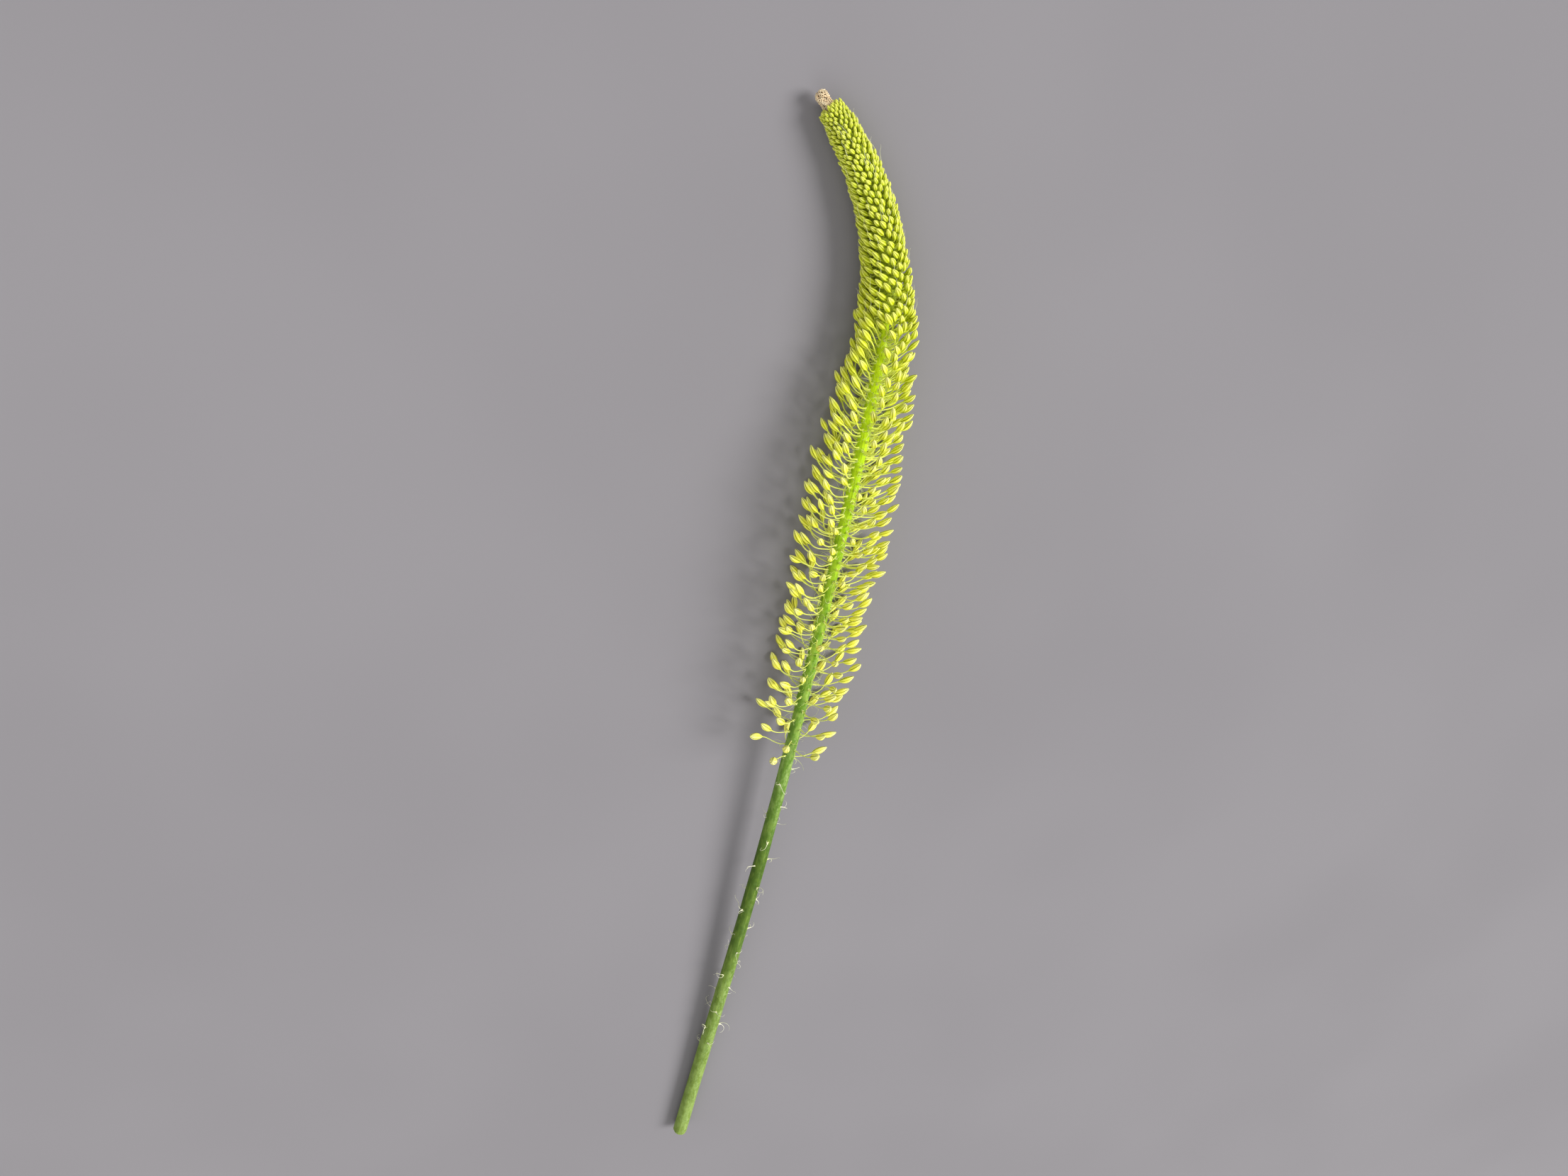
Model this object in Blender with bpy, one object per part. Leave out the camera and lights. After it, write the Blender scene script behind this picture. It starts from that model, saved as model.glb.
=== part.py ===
"""Foxtail lily flower spike in tight bud, cut and laid down along +Y. Metres, +Z up.

The spike is one grown thing, built as the four stretches that differ along it: the bare
scape, the open raceme of stalked buds, the dense head of buds, and the withered tip.
It lies on z = 0, its origin at the bottom centre of its bounding box. Buds under the
spike are bent aside by the surface, and where they press on it they are flat.
"""

import math
import random

import bmesh
import bpy
from mathutils import Vector

# Distances along the spike's centre line, from the cut end.
SPIKE_LENGTH = 0.904
FIRST_BUD = 0.444
HEAD_START = 0.768
TIP_START = 0.893

# The centre line bows slightly to the right, then hooks to the left towards the tip.
CUT_END_X = 0.0180
CUT_END_Y = -0.4414
BOW_DEG = 1.4
BOW_LENGTH = 0.700
HOOK_START = 0.738
HOOK_DEG = 53.0
HOOK_EASE = 1.1

# What changes along the spike, each as (distance from the cut end, value).
AXIS_HEIGHT = ((0.0, 0.0060), (0.48, 0.0205), (0.64, 0.0203), (0.80, 0.0124), (0.904, 0.0076))
STEM_RADIUS = ((0.0, 0.0063), (0.444, 0.0046), (0.60, 0.0038), (0.70, 0.0038), (0.768, 0.0029))
CORE_RADIUS = ((0.768, 0.0030), (0.785, 0.0058), (0.84, 0.0058), (0.875, 0.0046), (0.893, 0.0028))
STUB_RADIUS = ((0.893, 0.0026), (0.904, 0.0018))
REACH = ((0.444, 0.0310), (0.62, 0.0325), (0.66, 0.0310), (0.716, 0.0260), (0.748, 0.0205), (0.775, 0.0160),
         (0.80, 0.0134), (0.84, 0.0117), (0.88, 0.0093), (0.893, 0.0066))
BUD_LENGTH = ((0.444, 0.0116), (0.62, 0.0110), (0.72, 0.0102), (0.775, 0.0092), (0.84, 0.0078),
              (0.893, 0.0048))
BUD_GIRTH = ((0.444, 0.0055), (0.54, 0.0050), (0.62, 0.0046), (0.72, 0.0043), (0.775, 0.0047),
             (0.84, 0.0043), (0.893, 0.0030))
STALK_LEAN_DEG = ((0.444, 76.0), (0.62, 72.0), (0.72, 56.0), (0.768, 46.0))
BUD_LEAN_DEG = ((0.444, 56.0), (0.62, 50.0), (0.72, 45.0), (0.768, 47.0), (0.80, 46.0), (0.845, 38.0),
                (0.893, 26.0))
BUD_SWIRL_DEG = ((0.60, 0.0), (0.70, 26.0), (0.76, 56.0), (0.80, 58.0), (0.845, 28.0), (0.893, 8.0))
BUD_SPACING = ((0.444, 0.0034), (0.50, 0.0014), (0.62, 0.00108), (0.72, 0.00088), (0.768, 0.00074))
HEAD_SPACING = ((0.768, 0.00078), (0.84, 0.00058), (0.893, 0.00036))

# Buds spiral up the stem by the golden angle. Their roots start inside it.
GOLDEN_ANGLE = math.pi * (3 - math.sqrt(5))
ROOT_SHARE = 0.45
STALK_RADIUS = 0.00058
FOOT_RADIUS = 0.00081
FIRST_ROW = 0.004
LAST_ROW = 0.003
REACH_DRAW = (0.86, 1.08)
TURN_DRAW = (-0.16, 0.16)
SPACING_DRAW = (0.8, 1.2)
LEAN_DRAW_DEG = (-6.0, 6.0)
SWIRL_DRAW_DEG = (-10.0, 10.0)
HEAD_REACH_DRAW = (0.96, 1.03)
HEAD_OVERHANG = 0.0015  # how far the head's last buds reach past the foot of the withered tip
HEAD_START_BUDS = 40  # those near enough to the open raceme to be tested against its buds

# A bud's belly and shoulder, each as (share of its length, radius as a share of its girth).
STALKED_FORM = ((0.34, 0.52), (0.66, 0.48))
PACKED_FORM = ((0.38, 0.53), (0.76, 0.48))
PACKED_ROOT = 0.22
PRESSED_FOOT = 0.45  # heights of a pressed bud's foot and point above the surface, in girths
PRESSED_POINT = 0.25

# The shrivelled remains on the withered tip.
REMAINS = 30
REMAINS_SPAN = (0.0010, 0.0075)
REMAINS_LEAN_DEG = (16.0, 24.0)
REMAINS_SPREAD_DEG = 34.0
REMAINS_CURL = 1.9
REMAINS_LENGTH = (0.0020, 0.0027)
REMAINS_POINT = 0.0019
REMAINS_RADII = (0.0007, 0.00095)
STUB_BLUNT = 0.0015

NODE_GAP = 0.0003
SCAPE_STEP = 0.034
RACEME_STEP = 0.016
HEAD_STEP = 0.008
STUB_STEP = 0.003
LINE_STEP = 0.001
SHARP_DEG = 35.0
SEED = 7


def at(stops, distance, eased=False):
    """The value at this distance from the cut end, between the stops either side of it."""
    if distance <= stops[0][0]:
        return stops[0][1]
    for (start, first), (end, last) in zip(stops, stops[1:]):
        if distance <= end:
            share = (distance - start) / (end - start)
            if eased:
                share = share * share * (3 - 2 * share)
            return first + (last - first) * share
    return stops[-1][1]


def heading(distance):
    """How far the centre line points to the left of +Y, in radians."""
    bow = -math.radians(BOW_DEG) * math.cos(math.pi * distance / BOW_LENGTH)
    past = max(0.0, (distance - HOOK_START) / (SPIKE_LENGTH - HOOK_START))
    return bow + math.radians(HOOK_DEG) * past**HOOK_EASE


def centre_line():
    """Points along the middle of the spike, a millimetre apart."""
    points = []
    x, y = CUT_END_X, CUT_END_Y
    for step in range(round(SPIKE_LENGTH / LINE_STEP) + 2):
        distance = step * LINE_STEP
        points.append(Vector((x, y, at(AXIS_HEIGHT, distance, eased=True))))
        turn = heading(distance + LINE_STEP / 2)
        x -= LINE_STEP * math.sin(turn)
        y += LINE_STEP * math.cos(turn)
    return points


LINE = centre_line()


def place(distance):
    """The centre line's point, direction, level side and upward side at this distance."""
    low = min(int(distance / LINE_STEP), len(LINE) - 2)
    point = LINE[low].lerp(LINE[low + 1], distance / LINE_STEP - low)
    along = (LINE[low + 1] - LINE[low]).normalized()
    side = along.cross(Vector((0, 0, 1))).normalized()
    return point, along, side, side.cross(along)


def leaning(outward, along, angle, swirl=0.0):
    """The direction at this angle to the centre line, on the outward side of it or, with a
    swirl, swung round the line from there."""
    aside = outward.cross(along)
    return (outward * math.cos(swirl) + aside * math.sin(swirl)) * math.sin(angle) + along * math.cos(angle)


def tube(name, start, end, radii, step, collection):
    """A round tapering length of the spike, as a mesh object with closed ends."""
    curve = bpy.data.curves.new(name, "CURVE")
    curve.dimensions = "3D"
    curve.bevel_depth = 1.0
    curve.bevel_resolution = 4
    curve.use_fill_caps = True
    spans = round((end - start) / step)
    spline = curve.splines.new("POLY")
    spline.points.add(spans)
    for index, point in enumerate(spline.points):
        distance = start + (end - start) * index / spans
        point.co = (*place(distance)[0], 1.0)
        point.radius = at(radii, distance)
    guide = bpy.data.objects.new(name + "_guide", curve)
    collection.objects.link(guide)
    bpy.context.view_layer.update()
    mesh = bpy.data.meshes.new_from_object(guide.evaluated_get(bpy.context.evaluated_depsgraph_get()))
    bpy.data.objects.remove(guide)
    bpy.data.curves.remove(curve)
    work = bmesh.new()
    work.from_mesh(mesh)
    bmesh.ops.remove_doubles(work, verts=work.verts, dist=1e-6)
    bmesh.ops.recalc_face_normals(work, faces=work.faces)
    work.to_mesh(mesh)
    work.free()
    mesh.name = name
    made = bpy.data.objects.new(name, mesh)
    collection.objects.link(made)
    return made


def spindle(name, route, radii, collection):
    """A three-sided loft along the route, from a flat root to a point. Its last ring is turned
    by half a side, which makes a bud's swelling six-sided for no more faces."""
    work = bmesh.new()
    rings = []
    across = (route[1] - route[0]).orthogonal()
    for index, radius in enumerate(radii):
        ahead = (route[index + 1] - route[max(index - 1, 0)]).normalized()
        across = (across - ahead * across.dot(ahead)).normalized()
        other = ahead.cross(across)
        turn = 0.5 if index == len(radii) - 1 else 0.0
        ring = []
        for corner in range(3):
            angle = math.tau * (corner + turn) / 3
            offset = across * math.cos(angle) + other * math.sin(angle)
            ring.append(work.verts.new(route[index] + offset * radius))
        rings.append(ring)
    point = work.verts.new(route[-1])
    for corner in range(3):
        after = (corner + 1) % 3
        for low, high in zip(rings[:-2], rings[1:-1]):
            work.faces.new((low[corner], low[after], high[after], high[corner]))
        belly, shoulder = rings[-2:]
        work.faces.new((belly[corner], belly[after], shoulder[corner]))
        work.faces.new((belly[after], shoulder[after], shoulder[corner]))
        work.faces.new((shoulder[corner], shoulder[after], point))
    work.faces.new(tuple(reversed(rings[0])))
    bmesh.ops.recalc_face_normals(work, faces=work.faces)
    mesh = bpy.data.meshes.new(name)
    work.to_mesh(mesh)
    work.free()
    collection.objects.link(bpy.data.objects.new(name, mesh))


def laid(start, move, lowest):
    """Where a move from start ends if the surface bends it up: its end is no lower than
    lowest, and what is lost from its drop goes on level, so its length stays."""
    if start.z + move.z >= lowest:
        return start + move
    drop = lowest - start.z
    level = Vector((move.x, move.y, 0)).normalized()
    return start + level * math.sqrt(move.length**2 - drop**2) + Vector((0, 0, drop))


def stalked_bud(distance, turn, reach, more_lean, more_swirl):
    """Root, foot, point and girth of one bud: its stalk leaves the stem, and the bud at the
    stalk's end turns up towards the spike's tip. Its own lean and swirl differ a little."""
    point, along, side, up = place(distance)
    outward = side * math.cos(turn) + up * math.sin(turn)
    length = at(BUD_LENGTH, distance)
    girth = at(BUD_GIRTH, distance)
    stalk_lean = math.radians(at(STALK_LEAN_DEG, distance))
    bud_lean = math.radians(at(BUD_LEAN_DEG, distance) + more_lean)
    swirl = math.radians(at(BUD_SWIRL_DEG, distance) + more_swirl)
    depth = at(STEM_RADIUS, distance) * ROOT_SHARE
    root = point + outward * depth
    stalk = (reach - depth - length * math.sin(bud_lean) * math.cos(swirl)) / math.sin(stalk_lean)
    foot = laid(root, leaning(outward, along, stalk_lean) * stalk, girth * PRESSED_FOOT)
    tip = laid(foot, leaning(outward, along, bud_lean, swirl) * length, girth * PRESSED_POINT)
    return root, foot, tip, girth


def raceme_buds():
    """The stalked buds, from the sparse first ones up to the head."""
    draw = random.Random(SEED)
    distance = FIRST_BUD + FIRST_ROW
    turn = 0.0
    buds = []
    while distance < HEAD_START - LAST_ROW:
        reach = at(REACH, distance) * draw.uniform(*REACH_DRAW)
        own_turn = turn + draw.uniform(*TURN_DRAW)
        more_lean = draw.uniform(*LEAN_DRAW_DEG)
        buds.append(stalked_bud(distance, own_turn, reach, more_lean, draw.uniform(*SWIRL_DRAW_DEG)))
        turn += GOLDEN_ANGLE
        distance += at(BUD_SPACING, distance) * draw.uniform(*SPACING_DRAW)
    return buds


def head_buds():
    """The head's buds, rooted in its core and closing in towards the tip."""
    draw = random.Random(SEED + 1)
    distance = HEAD_START + LAST_ROW
    turn = 0.0
    buds = []
    while True:
        point, along, side, up = place(distance)
        outward = side * math.cos(turn) + up * math.sin(turn)
        length = at(BUD_LENGTH, distance)
        lean = math.radians(at(BUD_LEAN_DEG, distance))
        swirl = math.radians(at(BUD_SWIRL_DEG, distance) + draw.uniform(*SWIRL_DRAW_DEG))
        reach = at(REACH, distance) * draw.uniform(*HEAD_REACH_DRAW)
        if distance + length * math.cos(lean) > TIP_START + HEAD_OVERHANG:
            return buds
        root = point + outward * at(CORE_RADIUS, distance) * ROOT_SHARE
        foot = point + outward * (reach - length * math.sin(lean) * math.cos(swirl))
        tip = foot + leaning(outward, along, lean, swirl) * length
        buds.append((root, foot, tip, at(BUD_GIRTH, distance)))
        turn += GOLDEN_ANGLE
        distance += at(HEAD_SPACING, distance)


def gap(first, second):
    """The least gap between two buds, measured between five points along each."""
    quarters = [step / 4 for step in range(5)]
    least = min(
        (first[1].lerp(first[2], a) - second[1].lerp(second[2], b)).length for a in quarters for b in quarters
    )
    return least - (first[3] + second[3]) / 2


def repeats(name):
    """A collection for shapes that are about to be fused."""
    made = bpy.data.collections.new(name)
    bpy.context.scene.collection.children.link(made)
    return made


def apply_modifiers(body):
    bpy.context.view_layer.update()
    body.data = bpy.data.meshes.new_from_object(body.evaluated_get(bpy.context.evaluated_depsgraph_get()))
    body.modifiers.clear()


def fuse(body, collection):
    """Joins the collection's shapes to the body in one union and removes them."""
    union = body.modifiers.new("Fuse", "BOOLEAN")
    union.operation = "UNION"
    union.operand_type = "COLLECTION"
    union.collection = collection
    union.solver = "MANIFOLD"
    apply_modifiers(body)
    for piece in list(collection.objects):
        bpy.data.objects.remove(piece)
    bpy.data.collections.remove(collection)


def press_flat(body):
    """Cuts off what is below the surface, so that a pressed bud ends in a small flat."""
    bpy.ops.mesh.primitive_cube_add(size=2.0, location=(0, 0, -1.0))
    below = bpy.context.object
    cut = body.modifiers.new("Surface", "BOOLEAN")
    cut.operation = "DIFFERENCE"
    cut.object = below
    cut.solver = "MANIFOLD"
    apply_modifiers(body)
    bpy.data.objects.remove(below)


def finish(body, colour, roughness):
    """Shades a node smooth but for its sharp edges, and gives it its own material."""
    material = bpy.data.materials.new(body.name)
    material.use_nodes = True
    shader = material.node_tree.nodes["Principled BSDF"]
    shader.inputs["Base Color"].default_value = (*colour, 1.0)
    shader.inputs["Roughness"].default_value = roughness
    shader.inputs["Metallic"].default_value = 0.0
    body.data.set_sharp_from_angle(angle=math.radians(SHARP_DEG))
    body.data.materials.clear()
    body.data.materials.append(material)


def build_scape(collection):
    """The bare stem, cut square, with its cut end resting on the surface."""
    scape = tube("scape", 0.0, FIRST_BUD - NODE_GAP, STEM_RADIUS, SCAPE_STEP, collection)
    press_flat(scape)
    finish(scape, (0.16, 0.30, 0.07), 0.5)


def build_open_raceme(collection, buds):
    """The bright green upper stem, with a bud on a stalk at every turn of the spiral."""
    raceme = tube("open_raceme", FIRST_BUD, HEAD_START - NODE_GAP, STEM_RADIUS, RACEME_STEP, collection)
    stalks = repeats("stalked_buds")
    (belly, belly_radius), (shoulder, shoulder_radius) = STALKED_FORM
    for number, (root, foot, tip, girth) in enumerate(buds):
        route = (root, foot, foot.lerp(tip, belly), foot.lerp(tip, shoulder), tip)
        radii = (STALK_RADIUS, FOOT_RADIUS, girth * belly_radius, girth * shoulder_radius)
        spindle(f"bud_{number}", route, radii, stalks)
    fuse(raceme, stalks)
    press_flat(raceme)
    finish(raceme, (0.62, 0.68, 0.08), 0.5)


def build_bud_head(collection, buds):
    """The dense head: a slim core that its packed buds stand out of."""
    head = tube("bud_head", HEAD_START, TIP_START - NODE_GAP, CORE_RADIUS, HEAD_STEP, collection)
    packed = repeats("packed_buds")
    (belly, belly_radius), (shoulder, shoulder_radius) = PACKED_FORM
    for number, (root, foot, tip, girth) in enumerate(buds):
        route = (root, foot.lerp(tip, belly), foot.lerp(tip, shoulder), tip)
        radii = (girth * PACKED_ROOT, girth * belly_radius, girth * shoulder_radius)
        spindle(f"bud_{number}", route, radii, packed)
    fuse(head, packed)
    press_flat(head)
    finish(head, (0.45, 0.55, 0.05), 0.5)


def build_withered_tip(collection):
    """The dried end: a stub with shrivelled bud remains curling off it."""
    tip = tube("withered_tip", TIP_START, SPIKE_LENGTH - STUB_BLUNT, STUB_RADIUS, STUB_STEP, collection)
    remains = repeats("remains")
    draw = random.Random(SEED + 2)
    for number in range(REMAINS):
        share = number / (REMAINS - 1)
        low, high = REMAINS_SPAN
        point, along, side, up = place(TIP_START + low + (high - low) * share)
        turn = number * GOLDEN_ANGLE
        outward = side * math.cos(turn) + up * math.sin(turn)
        across = along.cross(outward) * draw.uniform(-0.5, 0.5)
        lean = math.radians(draw.uniform(*REMAINS_LEAN_DEG) + REMAINS_SPREAD_DEG * share)
        ahead = (leaning(outward, along, lean) + across / 2).normalized()
        curled = (leaning(outward, along, lean * REMAINS_CURL) + across).normalized()
        root = point + outward * STUB_RADIUS[-1][1] * ROOT_SHARE
        bend = root + ahead * draw.uniform(*REMAINS_LENGTH)
        spindle(f"remain_{number}", (root, bend, bend + curled * REMAINS_POINT), REMAINS_RADII, remains)
    fuse(tip, remains)
    finish(tip, (0.45, 0.28, 0.17), 0.8)


def main():
    for old in list(bpy.data.objects):
        bpy.data.objects.remove(old)
    spike = bpy.data.collections.new("foxtail_lily_flower_spike")
    bpy.context.scene.collection.children.link(spike)
    packed = head_buds()
    nearest = packed[:HEAD_START_BUDS]
    stalked = [bud for bud in raceme_buds() if min(gap(bud, other) for other in nearest) > NODE_GAP]
    build_scape(spike)
    build_open_raceme(spike, stalked)
    build_bud_head(spike, packed)
    build_withered_tip(spike)


main()
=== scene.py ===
"""A cut foxtail lily spike in tight bud, lying on a pale floor.

The spike is one grown thing. It is dressed here from its cut end to its tip: the bare scape,
the open raceme with its stalked buds, the dense head, and the withered tip. Lengths are metres.
"""

import math
import random
from collections import namedtuple

import bpy
import numpy as np
from mathutils import Matrix, Vector, noise


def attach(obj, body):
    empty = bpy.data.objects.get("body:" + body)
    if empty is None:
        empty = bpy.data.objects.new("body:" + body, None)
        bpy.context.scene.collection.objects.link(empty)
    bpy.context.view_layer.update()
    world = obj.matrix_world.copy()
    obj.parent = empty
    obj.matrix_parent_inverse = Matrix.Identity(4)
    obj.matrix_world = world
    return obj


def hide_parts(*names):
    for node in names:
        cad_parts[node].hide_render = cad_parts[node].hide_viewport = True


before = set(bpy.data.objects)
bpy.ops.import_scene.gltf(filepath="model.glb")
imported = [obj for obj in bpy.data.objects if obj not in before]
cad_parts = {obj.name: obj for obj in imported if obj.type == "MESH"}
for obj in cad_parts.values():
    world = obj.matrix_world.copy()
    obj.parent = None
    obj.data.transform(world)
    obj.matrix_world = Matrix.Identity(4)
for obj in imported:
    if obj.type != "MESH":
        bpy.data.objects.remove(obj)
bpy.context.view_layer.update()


# The camera
# It keeps the photograph's place beside the spike, which is now above the lying spike and a little
# past its tip, so that the head comes at the top of the picture. It is turned to centre the spike.
PICTURE_WIDTH = 2212
FOCAL_PIXELS = 1345
SENSOR_MM = 36.0
CAMERA_PLACE = Vector((-0.171, 0.412, 0.585))
CAMERA_AHEAD = Vector((0.057, -0.422, -0.905)).normalized()
CAMERA_RIGHT = Vector((0.991, 0.134, 0.0)).normalized()
TURN_RIGHT_DEG = 11.0
TURN_DOWN_DEG = 1.7

camera_data = bpy.data.cameras.new("camera")
camera_data.sensor_width = SENSOR_MM
camera_data.lens = SENSOR_MM * FOCAL_PIXELS / PICTURE_WIDTH
camera_data.clip_start = 0.01
camera_data.clip_end = 50.0
camera = bpy.data.objects.new("camera", camera_data)
bpy.context.scene.collection.objects.link(camera)
upright = CAMERA_RIGHT.cross(CAMERA_AHEAD)
turned = Matrix.Rotation(math.radians(-TURN_RIGHT_DEG), 3, upright)
ahead, right = turned @ CAMERA_AHEAD, turned @ CAMERA_RIGHT
lowered = Matrix.Rotation(math.radians(-TURN_DOWN_DEG), 3, right)
ahead, upright = lowered @ ahead, lowered @ upright
axes = Matrix((right, upright, -ahead)).transposed()
camera.matrix_world = Matrix.Translation(CAMERA_PLACE) @ axes.to_4x4()
bpy.context.scene.camera = camera


# The bare scape
# The lower part of the flower stem, firm green tissue under a pale waxy bloom that is rubbed off in
# patches. It was cut square with a knife, and carries the dry scars of small bracts.
SPIKE_LENGTH = 0.904
FIRST_BUD = 0.444
HEAD_START = 0.768
TIP_START = 0.893
CUT_END_X = 0.0180
CUT_END_Y = -0.4414
BOW_DEG = 1.4
BOW_LENGTH = 0.700
HOOK_START = 0.738
HOOK_DEG = 53.0
HOOK_EASE = 1.1
AXIS_HEIGHT = ((0.0, 0.0060), (0.48, 0.0205), (0.64, 0.0203), (0.80, 0.0124), (0.904, 0.0076))
STEM_RADIUS = ((0.0, 0.0063), (0.444, 0.0046), (0.60, 0.0038), (0.70, 0.0038), (0.768, 0.0029))
GOLDEN_ANGLE = math.pi * (3 - math.sqrt(5))
MM_PER_M = 1000
LINE_STEP = 0.001
LINE_SPARE_STEPS = 8

line_at = np.arange(round(SPIKE_LENGTH / LINE_STEP) + LINE_SPARE_STEPS) * LINE_STEP
middle = line_at + LINE_STEP / 2
past_hook = np.clip((middle - HOOK_START) / (SPIKE_LENGTH - HOOK_START), 0, None)
heading = math.radians(HOOK_DEG) * past_hook**HOOK_EASE
heading -= math.radians(BOW_DEG) * np.cos(math.pi * middle / BOW_LENGTH)


def at(stops, distance):
    """The value at this distance from the cut end, between the stops either side of it."""
    return np.interp(distance, *zip(*stops))


def eased(stops, distance):
    """As at(), but level at each stop."""
    places, values = zip(*stops)
    rank = np.interp(distance, places, range(len(places)))
    low = np.minimum(rank.astype(int), len(places) - 2)
    share = rank - low
    values = np.array(values)
    return values[low] + (values[low + 1] - values[low]) * share * share * (3 - 2 * share)


line = np.stack(
    [
        CUT_END_X - LINE_STEP * (np.cumsum(np.sin(heading)) - np.sin(heading)),
        CUT_END_Y + LINE_STEP * (np.cumsum(np.cos(heading)) - np.cos(heading)),
        eased(AXIS_HEIGHT, line_at),
    ],
    axis=-1,
)
line_along = np.gradient(line, axis=0)


def unit(vectors):
    return vectors / np.linalg.norm(vectors, axis=-1, keepdims=True)


def course(distance):
    """Points on the spike's centre line, and the directions to its side, up from it and along it."""
    point = np.stack([np.interp(distance, line_at, line[:, axis]) for axis in range(3)], axis=-1)
    along = unit(np.stack([np.interp(distance, line_at, line_along[:, axis]) for axis in range(3)], axis=-1))
    side = unit(np.cross(along, (0.0, 0.0, 1.0)))
    return point, side, np.cross(side, along), along


def rings_round(distance, turn, radius):
    """Rings round the centre line, with a radius at each distance and turn."""
    point, side, up, _ = course(distance)
    spoke = side[:, None] * np.cos(turn)[:, None] + up[:, None] * np.sin(turn)[:, None]
    return point[:, None] + spoke * radius[..., None]


SHARP_DEG = 60.0


def lofted(name, rings, **marks):
    """One object of closed lofts. rings is an array of loft, ring, corner and xyz, and each mark is
    an array like it that the material reads by its name. What presses on the floor is flat there."""
    count, length, sides = rings.shape[:3]

    def in_order(values):
        ends = values[:, (0, -1)].mean(axis=2)
        return np.concatenate([values.reshape(count, length * sides, 3), ends], axis=1).reshape(-1, 3)

    corner = np.arange(sides)
    after = (corner + 1) % sides
    low = np.arange(length - 1)[:, None] * sides
    last = (length - 1) * sides
    foot, point = length * sides, length * sides + 1
    walls = np.stack([low + corner, low + after, low + sides + after, low + sides + corner], axis=-1)
    caps = np.concatenate(
        [
            np.stack([np.full(sides, foot), after, corner], axis=-1),
            np.stack([np.full(sides, point), last + corner, last + after], axis=-1),
        ]
    )
    start = np.arange(count)[:, None, None] * (length * sides + 2)
    faces = (walls.reshape(1, -1, 4) + start).reshape(-1, 4).tolist()
    faces += (caps[None] + start).reshape(-1, 3).tolist()
    points = in_order(rings)
    points[:, 2] = np.maximum(points[:, 2], 0.0)
    mesh = bpy.data.meshes.new(name)
    mesh.from_pydata(points.tolist(), [], faces)
    for mark, values in marks.items():
        made = mesh.attributes.new(mark, "FLOAT_VECTOR", "POINT")
        made.data.foreach_set("vector", in_order(np.broadcast_to(values, rings.shape)).ravel())
    mesh.shade_smooth()
    mesh.set_sharp_from_angle(angle=math.radians(SHARP_DEG))
    piece = bpy.data.objects.new(name, mesh)
    bpy.context.scene.collection.objects.link(piece)
    return piece


def tubes(paths, radii, sides):
    """The rings of round tubes along paths, an array of path, point and xyz, with a radius a point."""
    ahead = unit(np.gradient(paths, axis=1))
    helper = np.where(np.abs(ahead[:, 0, 2:3]) < 0.7, (0.0, 0.0, 1.0), (1.0, 0.0, 0.0))
    across = np.cross(ahead[:, 0], helper)
    angle = np.arange(sides) * math.tau / sides
    rings = []
    for index in range(paths.shape[1]):
        along = ahead[:, index]
        across = unit(across - along * np.sum(across * along, axis=-1, keepdims=True))
        other = np.cross(along, across)
        spoke = across[:, None] * np.cos(angle)[:, None] + other[:, None] * np.sin(angle)[:, None]
        rings.append(paths[:, index, None] + spoke * radii[:, index, None, None])
    return np.stack(rings, axis=1)


# How many of its widths a pad reaches, and its ridge's height and width as shares of its own.
PAD_REACH = 3
RIDGE_HEIGHT = 0.35
RIDGE_WIDTH = 1.2


class Growths:
    """What grows from the stem: each has a distance, a turn, a height and width of its pad, and the
    length of the ridge that runs down the stem from it."""

    def __init__(self):
        self.rows = []

    def add(self, distance, turn, height, width, ridge):
        self.rows.append((distance, turn, height, width, ridge))

    def relief(self, distance, turn, radius):
        """How far the pads and ridges lift the stem's skin."""
        lift = np.zeros(np.broadcast(distance, turn).shape)
        for at_distance, at_turn, height, width, ridge in self.rows:
            lowest = at_distance - ridge - width * PAD_REACH
            highest = at_distance + width * PAD_REACH
            near = np.flatnonzero((distance[:, 0] > lowest) & (distance[:, 0] < highest))
            if not len(near):
                continue
            rows = slice(near[0], near[-1] + 1)
            beyond = distance[rows] - at_distance
            sideways = (np.mod(turn - at_turn + math.pi, math.tau) - math.pi) * radius[rows]
            pad = height * np.exp(-((beyond / width) ** 2) - (sideways / width) ** 2)
            down = np.clip(-beyond / ridge, 0, 1)
            round_off = np.exp(-((sideways / (width * RIDGE_WIDTH)) ** 2))
            fold = RIDGE_HEIGHT * height * (1 - down) ** 2 * (beyond < 0) * round_off
            lift[rows] = np.maximum(lift[rows], np.maximum(pad, fold))
        return lift


# Ribs round the stem, and how they wander up it: size, waves a metre times tau, and start.
BROAD_RIBS = 6
FINE_RIBS = 11
RIB_WANDER = ((0.9, 17, 0.0), (0.6, 43, 1.2))
BROAD_RIB_HEIGHT = 0.011
FINE_RIB_HEIGHT = 0.007
# Uneven growth: size, waves a metre times tau, and how far it winds round the stem.
SWELLS = ((0.010, 61, 2), (0.008, 97, -1))
STEM_SIDES = 48
SKIN_DEPTH = 0.0002


def stem_ribs(distance, turn):
    """The broad ribs and the fine ones that run along the stem, each from -1 to 1."""
    wander = sum(size * np.sin(distance * pace + start) for size, pace, start in RIB_WANDER)
    return np.sin(BROAD_RIBS * turn + wander), np.sin(FINE_RIBS * turn - 2 * wander)


def skin_radius(distance, turn, growths):
    """The stem's radius: round, with faint ribs, uneven growth, and pads where things grow from it."""
    radius = at(STEM_RADIUS, distance)
    broad, fine = stem_ribs(distance, turn)
    swell = sum(size * np.sin(distance * pace + winding * turn) for size, pace, winding in SWELLS)
    uneven = 1 + BROAD_RIB_HEIGHT * broad + FINE_RIB_HEIGHT * fine + swell
    return radius * uneven + growths.relief(distance, turn, radius)


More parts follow.
